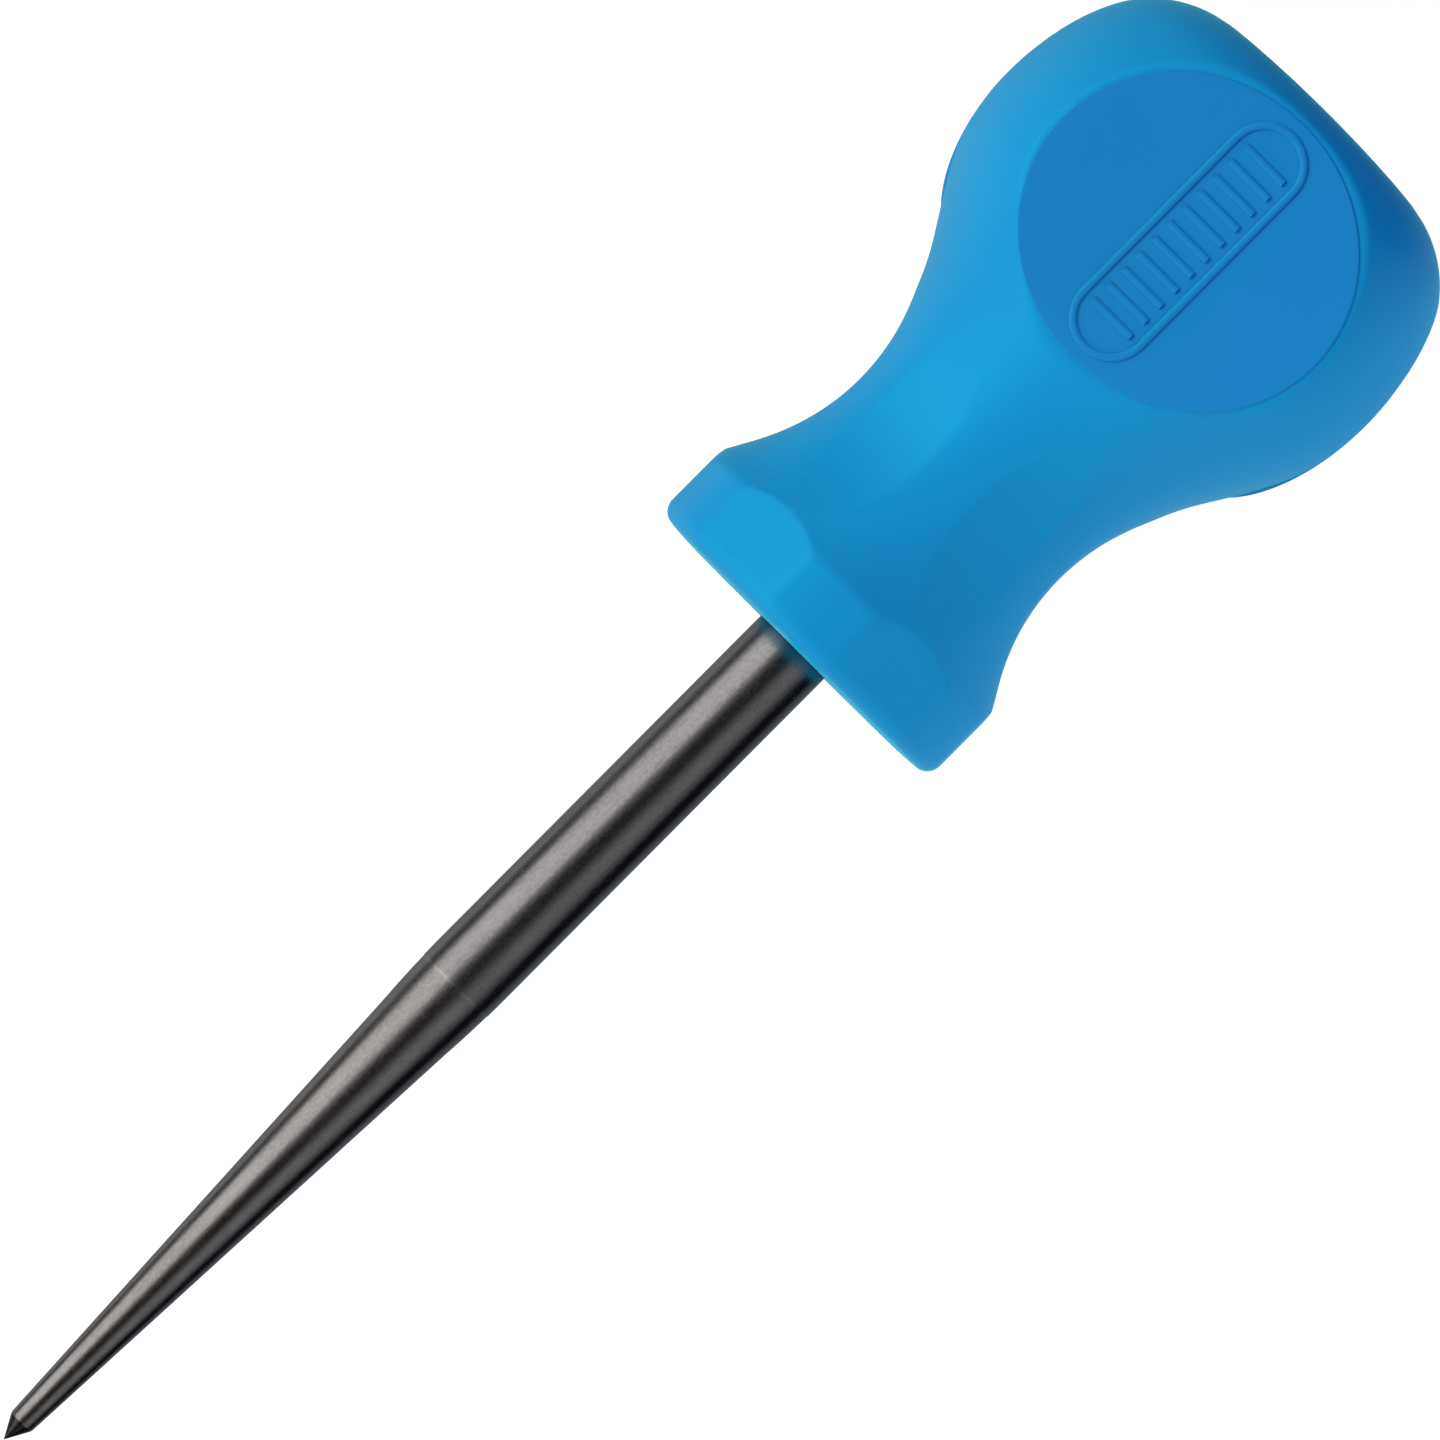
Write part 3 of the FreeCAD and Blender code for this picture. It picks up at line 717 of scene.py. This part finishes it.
blade.data.materials.append(steel("ground_steel"))
core_blue = plastic(
    "core_blue",
    base=(0.013, 0.216, 0.580),
    deep=(0.012, 0.207, 0.558),
    roughness=(0.36, 0.44),
    grain=5200.0,
    depth=0.12,
    specular=0.25,
    tint=(0.1, 1.0, 0.7),
)
grip_blue = plastic(
    "grip_blue",
    base=(0.009, 0.270, 0.632),
    deep=(0.008, 0.255, 0.605),
    roughness=(0.31, 0.39),
    grain=4200.0,
    depth=0.2,
    specular=0.36,
    tint=(0.0, 1.0, 0.8),
)
core.data.materials.append(core_blue)
grip.data.materials.append(grip_blue)
for piece, node, slot in (
    (blade, "blade", "blade_steel"),
    (core, "handle_core", "core_plastic"),
    (grip, "grip_sleeve", "grip_plastic"),
):
    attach(piece, "root")
    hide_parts(node)

# ---------------------------------------------------------------- floor, light and camera

scene = bpy.context.scene
scene.view_settings.view_transform = "Standard"
scene.view_settings.look = "None"

floor_height = min(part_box(node)[0].z for node in ("handle_core", "grip_sleeve"))
floor_mesh = bpy.data.meshes.new("floor")
reach = 3.0
corners = [(-reach, -reach, 0), (reach, -reach, 0), (reach, reach, 0), (-reach, reach, 0)]
floor_mesh.from_pydata(corners, [], [(0, 1, 2, 3)])
floor = bpy.data.objects.new("floor", floor_mesh)
just_below = 0.00002
floor.location.z = floor_height - just_below
scene.collection.objects.link(floor)
pale, _, _, shader, _ = new_material("floor_pale")
shader.inputs["Base Color"].default_value = (0.15, 0.15, 0.15, 1.0)
shader.inputs["Roughness"].default_value = 1.0
shader.inputs["Specular IOR Level"].default_value = 0.0
shader.inputs["Emission Color"].default_value = (1.0, 1.0, 1.0, 1.0)
shader.inputs["Emission Strength"].default_value = 1.0
floor_mesh.materials.append(pale)
floor.visible_glossy = False

# Light by height in the plane square to the axis, in degrees: 0 is level on the camera's side, 90 is
# straight up and 180 level behind. A wide panel hangs overhead, and the room is dark round the camera.
# The levels were set so that the blade shows the light and dark bands of the photo.
SKY = (
    (-180.0, (0.28, 0.30, 0.32)),
    (-150.0, (0.24, 0.27, 0.30)),
    (-106.0, (0.17, 0.21, 0.25)),
    (-94.0, (0.16, 0.16, 0.18)),
    (-82.0, (0.01, 0.01, 0.02)),
    (-60.0, (0.01, 0.01, 0.02)),
    (-46.0, (0.22, 0.22, 0.23)),
    (-30.0, (0.44, 0.45, 0.46)),
    (-14.0, (0.44, 0.45, 0.46)),
    (2.0, (0.22, 0.22, 0.22)),
    (12.0, (0.05, 0.05, 0.05)),
    (30.0, (0.05, 0.05, 0.055)),
    (44.0, (0.30, 0.30, 0.30)),
    (58.0, (1.56, 1.54, 1.51)),
    (80.0, (1.78, 1.75, 1.72)),
    (102.0, (1.54, 1.52, 1.50)),
    (113.0, (0.50, 0.50, 0.50)),
    (121.0, (0.14, 0.14, 0.14)),
    (131.0, (0.14, 0.14, 0.14)),
    (143.0, (0.46, 0.49, 0.50)),
    (155.0, (0.48, 0.53, 0.55)),
    (168.0, (0.32, 0.34, 0.36)),
    (180.0, (0.28, 0.30, 0.32)),
)
BRIGHTEST = 2.0
BUTT_SIDE = (0.32, 0.34, 0.37)  # how much of that light is left on the butt's side, where the panel ends

world = bpy.data.worlds.new("studio")
world.use_nodes = True
scene.world = world
nodes, links = world.node_tree.nodes, world.node_tree.links
nodes.clear()
output = nodes.new("ShaderNodeOutputWorld")
background = nodes.new("ShaderNodeBackground")
# Seen directly, the room behind the object is as pale as the floor.
plain = nodes.new("ShaderNodeBackground")
plain.inputs["Color"].default_value = (1.0, 1.0, 1.0, 1.0)
seen = nodes.new("ShaderNodeMixShader")
links.new(nodes.new("ShaderNodeLightPath").outputs["Is Camera Ray"], seen.inputs[0])
links.new(background.outputs["Background"], seen.inputs[1])
links.new(plain.outputs["Background"], seen.inputs[2])
links.new(seen.outputs["Shader"], output.inputs["Surface"])
apart = nodes.new("ShaderNodeSeparateXYZ")
links.new(nodes.new("ShaderNodeTexCoord").outputs["Generated"], apart.inputs["Vector"])
towards_camera = math_node(nodes, links, "MULTIPLY", apart.outputs["Y"], -1.0)
height = math_node(nodes, links, "ARCTAN2", apart.outputs["Z"], towards_camera)
share = remap(nodes, links, height, -math.pi, math.pi, 0.0, 1.0, kind="LINEAR")
ramp = nodes.new("ShaderNodeValToRGB")
ramp.color_ramp.interpolation = "EASE"
links.new(share, ramp.inputs["Fac"])
stops = ramp.color_ramp.elements
while len(stops) < len(SKY):
    stops.new(0.5)
for stop, (degrees, colour) in zip(stops, SKY):
    stop.position = (degrees + 180.0) / 360.0
for stop, (degrees, colour) in zip(stops, SKY):
    stop.color = (*(c / BRIGHTEST for c in colour), 1.0)
beyond = remap(nodes, links, apart.outputs["X"], -0.05, 0.65, 0.0, 1.0)
left = mix_colour(nodes, links, beyond, (1.0, 1.0, 1.0), BUTT_SIDE)
scale = nodes.new("ShaderNodeVectorMath")
scale.operation = "MULTIPLY"
links.new(ramp.outputs["Color"], scale.inputs[0])
links.new(left, scale.inputs[1])
links.new(scale.outputs["Vector"], background.inputs["Color"])
background.inputs["Strength"].default_value = BRIGHTEST

# A broad soft lamp from above, in front and towards the point. It leaves no highlight of its own. Its green
# tint and the card's blue stand in for the drift between greenish and violet blue in the photo.
key_data = bpy.data.lights.new("key", "SUN")
key_data.energy = 1.6
key_data.angle = math.radians(40.0)
key_data.color = (0.8, 1.0, 0.72)
key = bpy.data.objects.new("key", key_data)
key.rotation_euler = Vector((-0.22, -0.16, 0.96)).to_track_quat("Z", "Y").to_euler()
key.visible_glossy = False
scene.collection.objects.link(key)

# A card that glows blue lies behind the butt and stands upright beyond it. The camera and reflections
# don't see it. It covers the white floor there, and it colours that end of the handle.
card_mesh = bpy.data.meshes.new("card")
card_section = ((0.064, 0.0003), (0.085, 0.0003), (0.085, 0.04))
card_half = 0.4
corners = [(x, y, z) for x, z in card_section for y in (-card_half, card_half)]
card_mesh.from_pydata(corners, [], [(0, 2, 3, 1), (2, 4, 5, 3)])
card = bpy.data.objects.new("card", card_mesh)
card.location.z = floor_height
scene.collection.objects.link(card)
blue, _, _, shader, _ = new_material("card_blue")
shader.inputs["Base Color"].default_value = (0.01, 0.02, 0.04, 1.0)
shader.inputs["Roughness"].default_value = 1.0
shader.inputs["Emission Color"].default_value = (0.0, 0.36, 1.0, 1.0)
shader.inputs["Emission Strength"].default_value = 0.42
card_mesh.materials.append(blue)
card.visible_camera = False
card.visible_glossy = False

# The camera looks square on to the axis, from 28.3 degrees above the floor, rolled so the point is low left.
elevation = math.radians(28.3)
back = Vector((0.0, -math.cos(elevation), math.sin(elevation)))
raised = Vector((0.0, math.sin(elevation), math.cos(elevation)))
axis = Vector((1.0, 0.0, 0.0))
roll = math.radians(45.126)
right = axis * math.cos(roll) - raised * math.sin(roll)
up = axis * math.sin(roll) + raised * math.cos(roll)
target = Vector((-0.0082, 0.0, 0.0))
seen_width = 0.1145
camera_data = bpy.data.cameras.new("camera")
camera_data.sensor_width = 36.0
camera_data.lens = 400.0
distance = seen_width * camera_data.lens / camera_data.sensor_width
camera_data.clip_end = 20.0
camera = bpy.data.objects.new("camera", camera_data)
turned = Matrix((right, up, back)).transposed().to_4x4()
turned.translation = target + back * distance
camera.matrix_world = turned
scene.collection.objects.link(camera)
scene.camera = camera
